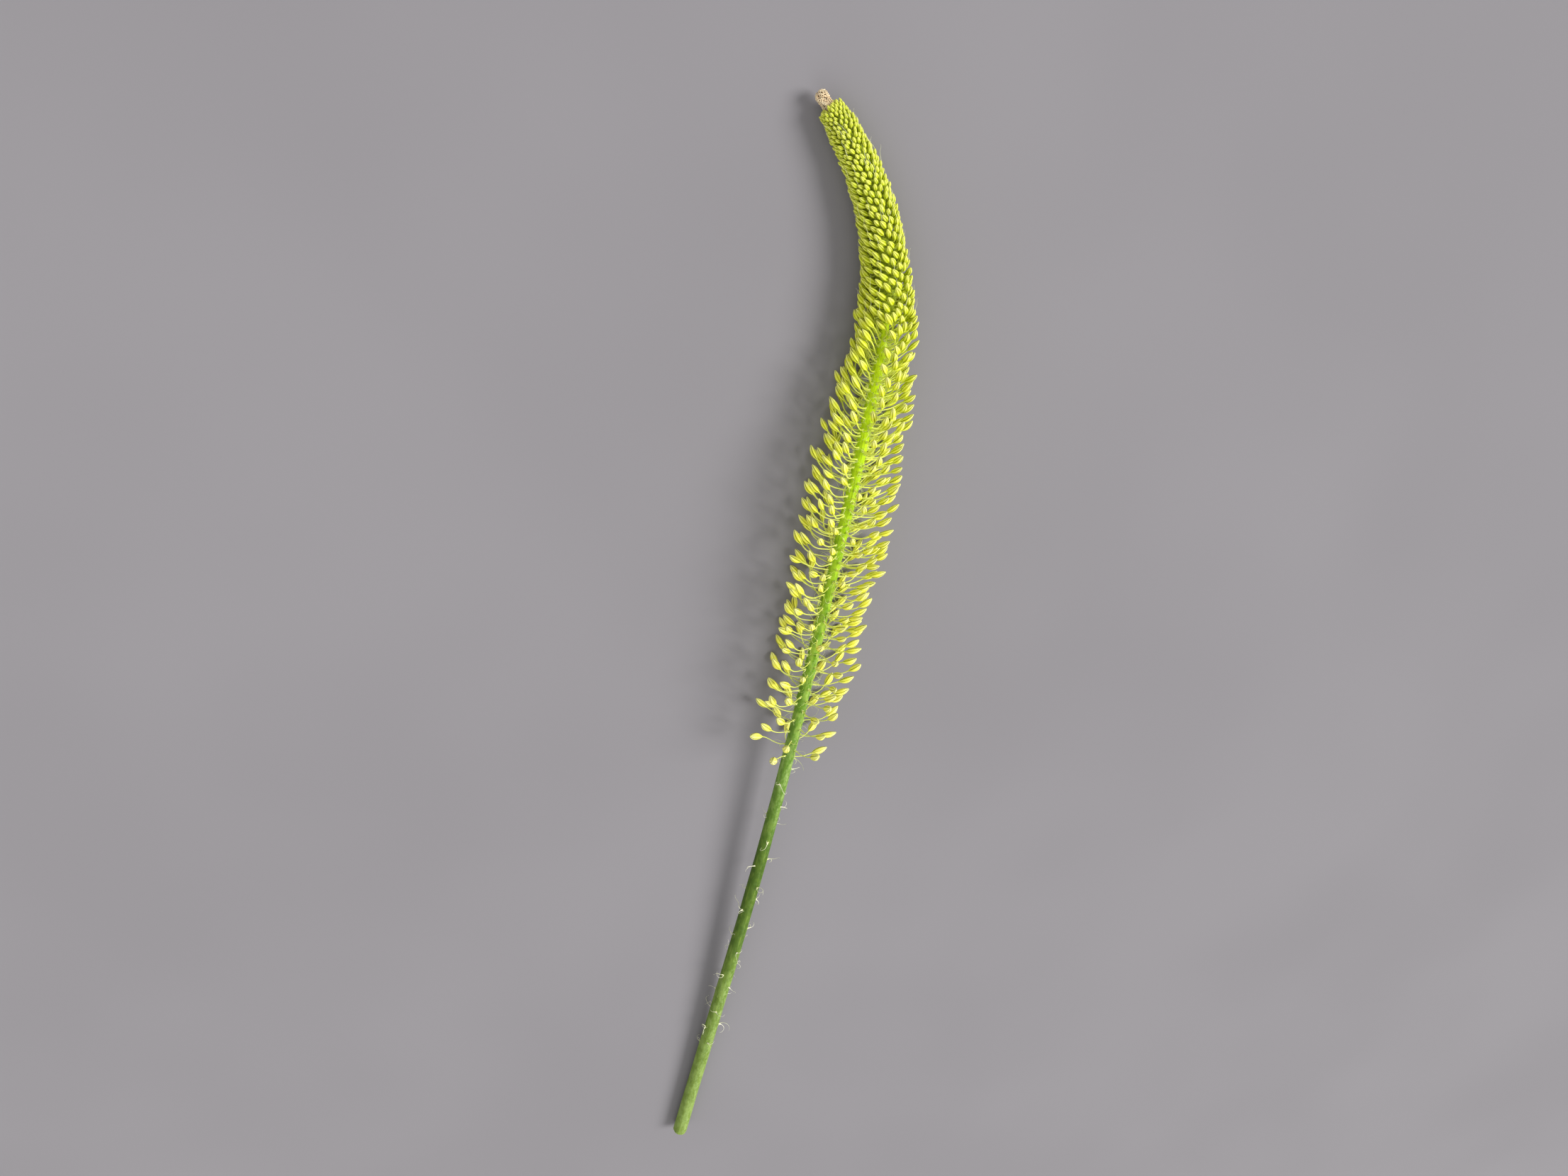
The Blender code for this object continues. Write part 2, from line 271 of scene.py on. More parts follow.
def stem(name, distances, shares, growths):
    """A length of stem with a ring at each distance, as a share of the full radius there. Its skin
    mark is 0 off the cut face, and there from 0.5 at the rim to 1 in the middle; the relief in
    millimetres; and the broad ribs."""
    turn = -np.arange(STEM_SIDES) * math.tau / STEM_SIDES
    distance = np.array(distances)[:, None]
    share = np.array(shares)[:, None]
    radius = skin_radius(distance, turn, growths) * share
    rings = rings_round(distance[:, 0], turn, radius)
    straight = np.stack([np.cos(turn) * radius, distance + 0 * turn, np.sin(turn) * radius], axis=-1)
    cut = np.where(share < 1, 1.0 - 0.5 * share, 0.0) + 0 * turn
    lift = growths.relief(distance, turn, at(STEM_RADIUS, distance)) * MM_PER_M
    skin = np.stack([cut, lift, stem_ribs(distance, turn)[0]], axis=-1)
    return lofted(name, rings[None], straight=straight[None], skin=skin[None])


THREAD_STEPS = 13
THREAD_SIDES = 4
THREAD_TAPER = 0.75
THREAD_FOOT_SHARE = 0.07


def threads(roots, starts, lengths, curls, radius, foot, turns, keep_off):
    """Thin dry threads on a thicker foot: each starts in its own direction and curls more and more
    towards its end. They stay off the floor and off the stem that they grow on."""
    share = np.linspace(0, 1, THREAD_STEPS)
    bend = curls[:, None] * share**1.5
    wave = 0.5 * np.sin(share * 9 + turns[:, None] * 3) * share
    start = unit(starts)
    askew = np.stack([np.cos(turns * 5), np.sin(turns * 7), np.cos(turns * 11)], axis=-1)
    hinge = unit(np.cross(start, askew))
    third = np.cross(start, hinge)
    ahead = (
        start[:, None] * np.cos(bend)[..., None]
        + third[:, None] * np.sin(bend)[..., None]
        + hinge[:, None] * wave[..., None]
    )
    paths = roots[:, None] + np.cumsum(ahead, axis=1) * (lengths / THREAD_STEPS)[:, None, None]
    paths[:, 0] = roots
    nearest = keep_off[:, None] + (paths[..., 1] - roots[:, None, 1])
    point, _, _, along = course(nearest)
    away = paths - point
    away -= along * np.sum(away * along, axis=-1, keepdims=True)
    gap = np.linalg.norm(away, axis=-1, keepdims=True)
    least = at(STEM_RADIUS, nearest)[..., None] + radius
    paths += away / gap * np.clip(least - gap, 0, None) * (share[:, None] > 0)
    paths[..., 2] = np.maximum(paths[..., 2], radius)
    swollen = foot * np.exp(-((share / THREAD_FOOT_SHARE) ** 2))
    radii = radius * (1 - THREAD_TAPER * share**0.8) + swollen
    return tubes(paths, np.tile(radii, (len(roots), 1)), THREAD_SIDES)


def srgb(*levels):
    """A colour given in screen levels from 0 to 255."""
    shares = [level / 255 for level in levels]
    linear = [share / 12.92 if share <= 0.04045 else ((share + 0.055) / 1.055) ** 2.4 for share in shares]
    return (*linear, 1.0)


class Finish:
    """A material mixed from noise and from the marks on a mesh, in the steps that a painter would use."""

    def __init__(self, name, roughness, glow=0.0, shine=0.5):
        self.material = bpy.data.materials.new(name)
        self.material.use_nodes = True
        self.nodes = self.material.node_tree.nodes
        self.links = self.material.node_tree.links
        self.shader = self.nodes["Principled BSDF"]
        self.shader.inputs["Roughness"].default_value = roughness
        self.shader.inputs["Subsurface Weight"].default_value = glow
        self.shader.inputs["Subsurface Radius"].default_value = (1.0, 1.0, 0.25)
        self.shader.inputs["Subsurface Scale"].default_value = 0.0015
        self.shader.inputs["Specular IOR Level"].default_value = shine

    def join(self, socket, value):
        if isinstance(value, bpy.types.NodeSocket):
            self.links.new(value, socket)
        else:
            socket.default_value = value

    def mark(self, name):
        """The three parts of a mark."""
        read = self.nodes.new("ShaderNodeAttribute")
        read.attribute_name = name
        split = self.nodes.new("ShaderNodeSeparateXYZ")
        self.join(split.inputs[0], read.outputs["Vector"])
        return split.outputs

    def place(self, name=None, stretch=(1, 1, 1)):
        """Coordinates for noise: a mark's, or else the object's, stretched."""
        if name:
            read = self.nodes.new("ShaderNodeAttribute")
            read.attribute_name = name
            source = read.outputs["Vector"]
        else:
            source = self.nodes.new("ShaderNodeTexCoord").outputs["Object"]
        stretched = self.nodes.new("ShaderNodeMapping")
        stretched.inputs["Scale"].default_value = stretch
        self.join(stretched.inputs["Vector"], source)
        return stretched.outputs[0]

    def noise(self, place, scale, detail=2.0):
        made = self.nodes.new("ShaderNodeTexNoise")
        made.inputs["Scale"].default_value = scale
        made.inputs["Detail"].default_value = detail
        self.join(made.inputs["Vector"], place)
        return made.outputs["Fac"]

    def specks(self, place, scale):
        """The distance from the middle of the nearest speck."""
        made = self.nodes.new("ShaderNodeTexVoronoi")
        made.inputs["Scale"].default_value = scale
        self.join(made.inputs["Vector"], place)
        return made.outputs["Distance"]

    def combine(self, operation, first, second=0.0):
        made = self.nodes.new("ShaderNodeMath")
        made.operation = operation
        self.join(made.inputs[0], first)
        self.join(made.inputs[1], second)
        return made.outputs[0]

    def fade(self, value, low, high, start=0.0, end=1.0, manner="SMOOTHSTEP"):
        """From start at low to end at high, softly unless the manner is LINEAR."""
        made = self.nodes.new("ShaderNodeMapRange")
        made.interpolation_type = manner
        for socket, number in zip(made.inputs, (value, low, high, start, end)):
            self.join(socket, number)
        return made.outputs[0]

    def blend(self, share, first, second):
        made = self.nodes.new("ShaderNodeMix")
        made.data_type = "RGBA"
        self.join(made.inputs[0], share)
        self.join(made.inputs[6], first)
        self.join(made.inputs[7], second)
        return made.outputs[2]

    def bands(self, value, stops):
        """A colour that changes along the value, with a colour at each stop."""
        made = self.nodes.new("ShaderNodeValToRGB")
        low, high = stops[0][0], stops[-1][0]
        self.join(made.inputs[0], self.fade(value, low, high, manner="LINEAR"))
        ramp = made.color_ramp
        while len(ramp.elements) < len(stops):
            ramp.elements.new(0.5)
        for element, (place, colour) in zip(ramp.elements, stops):
            element.position = (place - low) / (high - low)
            element.color = colour
        return made.outputs[0]

    def dress(self, piece, colour, height=None, depth=0.0):
        """Puts the finish on a piece, with a fine relief as deep as given."""
        self.join(self.shader.inputs["Base Color"], colour)
        if height is not None:
            bump = self.nodes.new("ShaderNodeBump")
            bump.inputs["Distance"].default_value = depth
            self.join(bump.inputs["Height"], height)
            self.join(self.shader.inputs["Normal"], bump.outputs[0])
        piece.data.materials.append(self.material)


# Stem colours along its length. Towards the head they brighten, partly as young tissue and partly as painted
# light that lifts the shade the buds cast on the rachis.
STEM_COLOURS = (
    (0.0, srgb(120, 142, 52)),
    (0.215, srgb(96, 122, 30)),
    (0.26, srgb(66, 94, 6)),
    (0.345, srgb(58, 86, 0)),
    (0.41, srgb(92, 126, 36)),
    (0.47, srgb(92, 130, 34)),
    (0.51, srgb(104, 146, 30)),
    (0.57, srgb(118, 160, 14)),
    (0.63, srgb(152, 194, 4)),
    (0.69, srgb(190, 226, 0)),
    (0.768, srgb(220, 246, 0)),
)
BLOOM_COLOURS = (
    (0.0, srgb(146, 170, 90)),
    (0.20, srgb(146, 170, 84)),
    (0.27, srgb(138, 164, 56)),
    (0.36, srgb(138, 164, 56)),
    (0.42, srgb(146, 172, 94)),
    (0.58, srgb(180, 210, 60)),
    (0.66, srgb(196, 224, 30)),
    (0.768, srgb(200, 226, 10)),
)


def stem_finish(name):
    """Green skin with lengthwise streaks and dark specks, under a waxy bloom that is rubbed off in
    patches and along the ribs. Pale speckles of bloom lie mostly on the right side, which faces the key
    lamp, and are partly painted highlight there; pads are paler than the skin."""
    finish = Finish(name, 0.5, glow=0.10, shine=0.2)
    aside, distance, _ = finish.mark("straight")
    cut, lift, rib = finish.mark("skin")
    green = finish.bands(distance, STEM_COLOURS)
    streaks = finish.noise(finish.place("straight", (1.0, 0.05, 1.0)), 1300, 3.0)
    green = finish.blend(finish.fade(streaks, 0.35, 0.7, 0.0, 0.36), green, srgb(66, 96, 6))
    patches = finish.noise(finish.place("straight", (1.0, 0.4, 1.0)), 250, 3.0)
    bloom = finish.bands(distance, BLOOM_COLOURS)
    # The stem colours are darkest, and less of the bloom is blended in, along the middle of the scape than
    # below and above it.
    bloom_below_middle = finish.fade(distance, 0.20, 0.26, 1.0, 0.3)
    bloom_above_middle = finish.fade(distance, 0.36, 0.41, 0.3, 1.0)
    bloom_outside_middle = finish.combine("MAXIMUM", bloom_below_middle, bloom_above_middle)
    patchy = finish.combine("MULTIPLY", finish.fade(patches, 0.40, 0.62, 0.0, 0.45), bloom_outside_middle)
    green = finish.blend(patchy, green, bloom)
    grain = finish.noise(finish.place("straight", (1.0, 0.6, 1.0)), 900, 3.0)
    green = finish.blend(finish.fade(grain, 0.52, 0.74, 0.0, 0.3), green, srgb(70, 100, 26))
    on_rib = finish.fade(rib, 0.6, 1.0, 0.0, 0.25)
    ribbed = finish.combine("MULTIPLY", on_rib, finish.fade(patches, 0.4, 0.62))
    green = finish.blend(ribbed, green, bloom)
    # Pale speckles of bloom, limited mostly to the right side that faces the key lamp: partly real bloom,
    # partly a painted highlight on the lit side.
    flecks_with_painted_highlight = finish.fade(finish.noise(finish.place("straight", (1.0, 0.55, 1.0)), 620, 3.0), 0.46, 0.64)
    for limit in (
        finish.fade(aside, -0.004, 0.005, 0.06, 0.42),
        finish.fade(distance, 0.50, 0.66, 1.0, 0.0),
        bloom_outside_middle,
    ):
        flecks_with_painted_highlight = finish.combine("MULTIPLY", flecks_with_painted_highlight, limit)
    green = finish.blend(flecks_with_painted_highlight, green, srgb(160, 184, 120))
    speck = finish.specks(finish.place("straight", (1.0, 0.45, 1.0)), 560)
    green = finish.blend(finish.fade(speck, 0.08, 0.22, 0.5, 0.0), green, srgb(50, 80, 14))
    green = finish.blend(finish.fade(lift, 0.12, 0.34, 0.0, 0.8), green, srgb(222, 226, 156))
    # The cut face shows pale pith with the ends of its vessels, inside a green rim.
    vessel = finish.specks(finish.place("straight"), 1150)
    pith = finish.blend(finish.fade(vessel, 0.16, 0.34), srgb(150, 172, 92), srgb(214, 220, 170))
    pith = finish.blend(finish.fade(cut, 0.50, 0.60, 0.85, 0.0), pith, srgb(124, 152, 70))
    colour = finish.blend(finish.fade(cut, 0.1, 0.45), green, pith)
    return finish, colour, streaks


SCARS = 34
SCAR_FROM = 0.120
SCAR_TO = 0.438
SCAR_CROWDING = 0.9
SCAR_STRAY = 0.003
SCAR_HEIGHT = (0.00025, 0.0005)
SCAR_WIDTH = (0.0008, 0.0012)
SCAR_RIDGE = 0.008
draw = random.Random(3)
scars = Growths()
scar_places = []
for number in range(SCARS):
    down = (SCAR_TO - SCAR_FROM) * (number / (SCARS - 1)) ** SCAR_CROWDING
    distance = SCAR_TO - down + draw.uniform(-SCAR_STRAY, SCAR_STRAY)
    turn = number * GOLDEN_ANGLE + draw.uniform(-0.3, 0.3)
    scars.add(distance, turn, draw.uniform(*SCAR_HEIGHT), draw.uniform(*SCAR_WIDTH), SCAR_RIDGE)
    scar_places.append((distance, turn))

# Rings from the middle of the cut face over its rounded rim: distance, and share of the radius.
CUT_FACE = ((0.0007, 0.25), (0.0006, 0.55), (0.0003, 0.80), (0.0001, 0.93), (0.0, 0.985), (0.0003, 1.0))
SCAPE_STEP = 0.0012
face_distances, face_shares = zip(*CUT_FACE)
skin_distances = np.linspace(SCAPE_STEP, FIRST_BUD, round(FIRST_BUD / SCAPE_STEP))
scape_distances = [*face_distances, *skin_distances]
scape_shares = [*face_shares, *np.ones(len(skin_distances))]
scape = stem("scape_skin", scape_distances, scape_shares, scars)
finish, colour, height = stem_finish("waxy_green_skin")
finish.dress(scape, colour, height, SKIN_DEPTH)
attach(scape, "root")
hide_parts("scape")


# The scape's threads
# The dried hair-like ends of the small bracts below the flowers: cream, brittle, curled every way,
# each still fixed in its scar on the stem.
def thread_rows(places, count, lengths, curls, seed):
    """Roots, directions, lengths, curls, turns and stem distances for threads at these places."""
    draw = random.Random(seed)
    rows = []
    for distance, turn in places:
        for _ in range(count):
            point, side, up, along = course(distance)
            outward = side * math.cos(turn) + up * math.sin(turn)
            root = point + outward * at(STEM_RADIUS, distance)
            around = np.cross(along, outward)
            start = outward + along * draw.uniform(-0.4, 0.9) + around * draw.uniform(-1.1, 1.1)
            length, curl, turned = draw.uniform(*lengths), draw.uniform(*curls), draw.uniform(0, 9)
            rows.append((*root, *start, length, curl, turned, distance))
    rows = np.array(rows)
    return rows[:, :3], rows[:, 3:6], rows[:, 6], rows[:, 7], rows[:, 8], rows[:, 9]


def make_threads(name, rows, radius, foot, pale, green):
    roots, starts, lengths, curls, turns, distances = rows
    rings = threads(roots, starts, lengths, curls, radius, foot, turns, distances)
    hue = np.stack([np.mod(turns * 7.3, 1.0), distances, 0 * turns], axis=-1)
    piece = lofted(name, rings, hue=hue[:, None, None])
    finish = Finish(name + "_finish", 0.6)
    hue, _, _ = finish.mark("hue")
    finish.dress(piece, finish.blend(hue, pale, green))
    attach(piece, "root")
    return piece


THREADS_A_SCAR = 2
THREAD_LENGTH = (0.004, 0.015)
THREAD_CURL = (0.5, 4.4)
THREAD_RADIUS = 0.00020
THREAD_FOOT = 0.00050
scape_rows = thread_rows(scar_places, THREADS_A_SCAR, THREAD_LENGTH, THREAD_CURL, 11)
scape_threads = make_threads(
    "scape_threads", scape_rows, THREAD_RADIUS, THREAD_FOOT, srgb(250, 246, 222), srgb(226, 228, 176)
)
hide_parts("scape")


# The buds' places
# Buds stand on the spike in a spiral by the golden angle, the oldest lowest. Those of the open raceme
# have long stalks, shorter towards the head. Buds under the spike are bent aside by the floor.
REACH = (
    (0.444, 0.0310), (0.62, 0.0325), (0.66, 0.0310), (0.716, 0.0256), (0.748, 0.0194), (0.775, 0.0164),
    (0.80, 0.0134), (0.84, 0.0117), (0.88, 0.0093), (0.893, 0.0066),
)
BUD_LENGTH = (
    (0.444, 0.0116), (0.62, 0.0110), (0.72, 0.0102), (0.768, 0.0093), (0.79, 0.0086), (0.842, 0.0062),
    (0.87, 0.0045), (0.893, 0.0035),
)
BUD_WIDTH = (
    (0.444, 0.0052), (0.50, 0.0047), (0.56, 0.0043), (0.62, 0.0040), (0.72, 0.0038), (0.768, 0.0036),
    (0.79, 0.0034), (0.842, 0.0027), (0.87, 0.0022), (0.893, 0.0018),
)
STALK_LEAN_DEG = ((0.444, 78.0), (0.62, 76.0), (0.70, 69.0), (0.74, 57.0), (0.768, 46.0))
BUD_LEAN_DEG = (
    (0.444, 56.0), (0.62, 50.0), (0.72, 45.0), (0.768, 47.0), (0.80, 47.0), (0.845, 46.0), (0.88, 42.0),
    (0.893, 28.0),
)
BUD_SWIRL_DEG = ((0.60, 0.0), (0.70, 26.0), (0.76, 56.0), (0.80, 58.0), (0.845, 28.0), (0.893, 8.0))
STALK_ROOT = 0.85
PRESSED_FOOT = 0.45
PRESSED_TIP = 0.25
PARTING_TURN = 1.76
PARTING_HALF = ((0.62, 0.25), (0.70, 0.36), (0.75, 0.36), (0.768, 0.30))
PARTING_REACH = 0.90
UNPARTED_SHARE = 0.1
BUD_SPACING = ((0.444, 0.0034), (0.50, 0.0014), (0.62, 0.00108), (0.72, 0.00088), (0.768, 0.00074))
HEAD_SPACING = ((0.768, 0.00038), (0.80, 0.00030), (0.84, 0.00022), (0.87, 0.00017), (0.893, 0.00013))
CROWDED_SPACING = ((0.545, 0.0062), (0.60, 0.0036), (0.655, 0.0030), (0.70, 0.0015), (0.768, 0.0010))
UNRULY = ((0.444, 1.0), (0.56, 0.9), (0.70, 0.35), (0.768, 0.2))
Bud = namedtuple("Bud", "root foot tip width outward distance turn")


def laid(start, move, lowest):
    """Where a move from start ends if the floor bends it up: its length stays."""
    if start.z + move.z >= lowest:
        return start + move
    drop = lowest - start.z
    level = Vector((move.x, move.y, 0)).normalized()
    return start + level * math.sqrt(move.length**2 - drop**2) + Vector((0, 0, drop))


def swung(outward, along, lean, swirl):
    """The direction that leans out from the spike and is swung round it by the swirl."""
    aside = outward.cross(along)
    return (outward * math.cos(swirl) + aside * math.sin(swirl)) * math.sin(lean) + along * math.cos(lean)


def standing(distance, turn):
    """A point on the centre line, the direction out from it at this turn, and that along it."""
    point, side, up, along = (Vector(part) for part in course(distance))
    return point, side * math.cos(turn) + up * math.sin(turn), along


def stalked_bud(distance, turn, reach, more_lean, more_swirl, longer=1.0, wider=1.0, parted=True):
    """A bud on its stalk. Along the top the buds part to both sides, so that a strip of the stem
    shows there."""
    swing = 0.5 * math.radians(at(BUD_SWIRL_DEG, distance) + more_swirl) * at(BUD_LENGTH, distance) / reach
    off = math.remainder(turn - swing - PARTING_TURN, math.tau)
    if parted and abs(off) < PARTING_REACH:
        turn += math.copysign(at(PARTING_HALF, distance) * (1 - abs(off) / PARTING_REACH), off)
    point, outward, along = standing(distance, turn)
    length = at(BUD_LENGTH, distance) * longer
    width = at(BUD_WIDTH, distance) * wider
    stalk_lean = math.radians(at(STALK_LEAN_DEG, distance))
    bud_lean = math.radians(at(BUD_LEAN_DEG, distance) + more_lean)
    swirl = math.radians(at(BUD_SWIRL_DEG, distance) + more_swirl)
    depth = at(STEM_RADIUS, distance) * STALK_ROOT
    root = point + outward * depth
    stalk = (reach - depth - length * math.sin(bud_lean) * math.cos(swirl)) / math.sin(stalk_lean)
    foot = laid(root, swung(outward, along, stalk_lean, 0.0) * stalk, width * PRESSED_FOOT)
    tip = laid(foot, swung(outward, along, bud_lean, swirl) * length, width * PRESSED_TIP)
    return Bud(root, foot, tip, width, outward, distance, turn)


FIRST_ROW = 0.004
LAST_ROW = 0.003
draw = random.Random(7)
growth = random.Random(27)
raceme_buds = []
distance, turn = FIRST_BUD + FIRST_ROW, 0.0
while distance < HEAD_START - LAST_ROW:
    reach = at(REACH, distance) * draw.uniform(0.86, 1.08)
    own_turn = turn + draw.uniform(-0.16, 0.16)
    more_lean = draw.uniform(-6, 6)
    more_swirl = draw.uniform(-10, 10)
    more_lean += growth.uniform(-15, 15) * at(UNRULY, distance)
    more_swirl += growth.uniform(-26, 26) * at(UNRULY, distance)
    longer, wider = growth.uniform(0.93, 1.08), growth.uniform(0.90, 1.10)
    parted = growth.random() > UNPARTED_SHARE
    raceme_buds.append(stalked_bud(distance, own_turn, reach, more_lean, more_swirl, longer, wider, parted))
    turn += GOLDEN_ANGLE
    distance += at(BUD_SPACING, distance) * draw.uniform(0.8, 1.2)

# More buds fill in between, from the middle of the raceme up, each in the freest of a few places.
CHOICES = 10
draw = random.Random(17)
distance = CROWDED_SPACING[0][0]
while distance < HEAD_START - 0.001:
    reach = at(REACH, distance) * draw.uniform(0.68, 1.03)
    choices = [
        stalked_bud(distance, draw.uniform(0, math.tau), reach, draw.uniform(-8, 8), draw.uniform(-12, 12))
        for _ in range(CHOICES)
    ]
    room = [min((bud.tip - other.tip).length for other in raceme_buds) for bud in choices]
    raceme_buds.append(choices[room.index(max(room))])
    distance += at(CROWDED_SPACING, distance) * draw.uniform(0.8, 1.2)

# The head's buds hide their short stalks. The last of them reach a little past the tip's foot.
HEAD_OVERHANG = 0.0015
draw = random.Random(8)
head_buds = []
distance, turn = HEAD_START + 0.001, 0.0
while True:
    point, outward, along = standing(distance, turn)
    length = at(BUD_LENGTH, distance)
    lean = math.radians(at(BUD_LEAN_DEG, distance))
    if distance + length * math.cos(lean) > TIP_START + HEAD_OVERHANG:
        break
    length *= draw.uniform(0.90, 1.08)
    lean += math.radians(draw.uniform(-8, 8))
    swirl = math.radians(at(BUD_SWIRL_DEG, distance) + draw.uniform(-14, 14))
    reach = at(REACH, distance) * draw.uniform(0.94, 1.03)
    outward = (outward + along.cross(outward) * draw.uniform(-0.07, 0.07)).normalized()
    foot = point + outward * (reach - length * math.sin(lean) * math.cos(swirl))
    tip = foot + swung(outward, along, lean, swirl) * length
    root = point + outward * at(STEM_RADIUS, distance) * 0.8
    width = at(BUD_WIDTH, distance) * draw.uniform(0.93, 1.07)
    head_buds.append(Bud(root, foot, tip, width, outward, distance, turn))
    turn += GOLDEN_ANGLE
    distance += at(HEAD_SPACING, distance)

# The youngest buds stand close round the foot of the withered tip.
YOUNGEST_BUDS = 46
YOUNGEST_FROM = TIP_START - 0.0050
YOUNGEST_SPAN = 0.0035
for number in range(YOUNGEST_BUDS):
    distance = YOUNGEST_FROM + YOUNGEST_SPAN * number / YOUNGEST_BUDS
    turn = number * GOLDEN_ANGLE
    point, outward, along = standing(distance, turn)
    foot = point + outward * draw.uniform(0.0030, 0.0044)
    tip = foot + swung(outward, along, math.radians(draw.uniform(4, 20)), 0.0) * draw.uniform(0.0032, 0.0044)
    width = draw.uniform(0.0017, 0.0021)
    head_buds.append(Bud(point + outward * 0.0012, foot, tip, width, outward, distance, turn))

# Where buds are tested against each other: shares of their length, and their girth there. Buds that
# cut in move by a share of the overlap a round, and by no more than the longest move.
TEST_PLACES = (0.18, 0.5, 0.8)
TEST_GIRTHS = (0.78, 1.0, 0.72)
TOUCHING = 0.96
EASING = 0.32
LONGEST_MOVE = 0.0004
ROUNDS = 14


def spread_apart(foot, tip, width):
    """Eases buds that cut into each other apart, as they have done in growing. Lengths stay."""
    length = np.linalg.norm(tip - foot, axis=-1, keepdims=True)
    count = len(foot)
    owner = np.repeat(np.arange(count), len(TEST_PLACES))
    share = np.tile(TEST_PLACES, count)[:, None]
    radius = (width[:, None] * np.array(TEST_GIRTHS) / 2).ravel()
    for _ in range(ROUNDS):
        points = foot[owner] * (1 - share) + tip[owner] * share
        away = points[:, None] - points[None]
        gap = np.linalg.norm(away, axis=-1) + 1e-9
        wanted = (radius[:, None] + radius[None]) * TOUCHING
        push = np.where((owner[:, None] != owner[None]) & (gap < wanted), (wanted - gap) * EASING, 0.0)
        move = (away / gap[..., None] * push[..., None]).sum(axis=1)
        for end, weight in ((foot, 1 - share), (tip, share)):
            np.add.at(end, owner, np.clip(move * weight, -LONGEST_MOVE, LONGEST_MOVE))
        foot[:, 2] = np.maximum(foot[:, 2], width * PRESSED_FOOT)
        tip[:, 2] = np.maximum(tip[:, 2], width * PRESSED_TIP)
        tip[:] = foot + unit(tip - foot) * length
    return foot, tip


columns = [np.array(part, float) for part in zip(*raceme_buds, *head_buds)]
roots, feet, tips, widths, outwards, distances, turns = columns
feet, tips = spread_apart(feet, tips, widths)
in_raceme = np.arange(len(feet)) < len(raceme_buds)


# The rachis
# The same stem above the first flower: brighter, more ribbed, with a small pad under every bud stalk
# and a ridge running down from it. Young tissue, so it is nearly free of bloom towards the head. Its
# brighter colour is partly painted light, which lifts the shade that the buds cast on it.
PAD_HEIGHT = 0.0004
PAD_WIDTH = 0.00085
LONGEST_RIDGE = 0.011
RACHIS_STEP = 0.0009
RACHIS_END = HEAD_START + 0.004
growths = Growths()
growths.rows += scars.rows
for distance, turn in zip(distances[in_raceme], turns[in_raceme]):
    growths.add(distance, turn, PAD_HEIGHT, PAD_WIDTH, min(LONGEST_RIDGE, distance - FIRST_BUD))
rachis_distances = np.linspace(FIRST_BUD, RACHIS_END, round((HEAD_START - FIRST_BUD) / RACHIS_STEP))
rachis = stem("rachis", rachis_distances, np.ones(len(rachis_distances)), growths)
finish, colour, height = stem_finish("bright_green_skin")
finish.dress(rachis, colour, height, SKIN_DEPTH)
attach(rachis, "root")
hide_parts("open_raceme")


# The bud stalks
# Thin pale green stalks, stiff enough to hold a bud. They leave the stem nearly square, curve up
# towards the spike's tip, and swell a little where they join the stem and under the bud.
STALK_GIRTH = ((0.444, 0.74), (0.56, 0.84), (0.66, 1.0))
STALK_COLOURS = (
    (0.444, srgb(196, 206, 96)),
    (0.56, srgb(212, 220, 100)),
    (0.66, srgb(230, 238, 112)),
    (0.768, srgb(216, 230, 62)),
    (0.893, srgb(182, 204, 30)),
)
# Radii in millimetres at shares of the stalk's length, and how far the direction at either end
# carries into the stalk, as a share of its span.
STALK_FLARE = ((0.0, 0.60), (0.10, 0.48), (0.25, 0.42), (0.75, 0.41), (0.93, 0.50), (1.0, 0.56))
LEAVING = 0.42
ARRIVING = 0.36
STALK_REST = 0.0005


def stalk_rings(chosen, seed, points, sides, girth):
    draw = np.random.default_rng(seed)
    start, end, outward = roots[chosen], feet[chosen], outwards[chosen]
    span = np.linalg.norm(end - start, axis=-1, keepdims=True)
    _, _, _, along = course(distances[chosen])
    up_stem = along * draw.uniform(-0.25, 0.30, (len(start), 1))
    leave = unit(outward + up_stem + draw.normal(0, 0.10, start.shape))
    arrive = unit(tips[chosen] - end)
    first = start + leave * span * LEAVING
    second = end - arrive * span * ARRIVING
    share = np.linspace(0, 1, points)[:, None]
    paths = (
        start[:, None] * (1 - share) ** 3
        + first[:, None] * 3 * share * (1 - share) ** 2
        + second[:, None] * 3 * share**2 * (1 - share)
        + end[:, None] * share**3
    )
    paths[..., 2] = np.maximum(paths[..., 2], STALK_REST)
    flare = at(STALK_FLARE, share[:, 0]) / MM_PER_M
    girth = girth * at(STALK_GIRTH, distances[chosen])[:, None]
    return tubes(paths, flare * girth, sides)


def make_stalks(name, chosen, seed, points, sides, girth, node):
    rings = stalk_rings(chosen, seed, points, sides, girth)
    share = np.linspace(0, 1, points)[None, :, None]
    marks = np.broadcast_arrays(share, distances[chosen][:, None, None], (turns[chosen] % 1.0)[:, None, None])
    piece = lofted(name, rings, stalk=np.broadcast_to(np.stack(marks, axis=-1), rings.shape))
    finish = Finish(name + "_green", 0.45, glow=0.15, shine=0.3)
    share, distance, chance = finish.mark("stalk")
    green = finish.bands(distance, STALK_COLOURS)
    green = finish.blend(finish.fade(chance, 0.0, 1.0, 0.0, 0.4), green, srgb(240, 240, 138))
    green = finish.blend(finish.fade(share, 0.0, 0.08, 0.6, 0.0), green, srgb(230, 230, 166))
    green = finish.blend(finish.fade(share, 0.8, 1.0, 0.0, 0.5), green, srgb(208, 216, 20))
    finish.dress(piece, green)
    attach(piece, "root")
    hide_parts(node)


make_stalks("bud_stalks", in_raceme, 5, 11, 8, 1.0, "open_raceme")


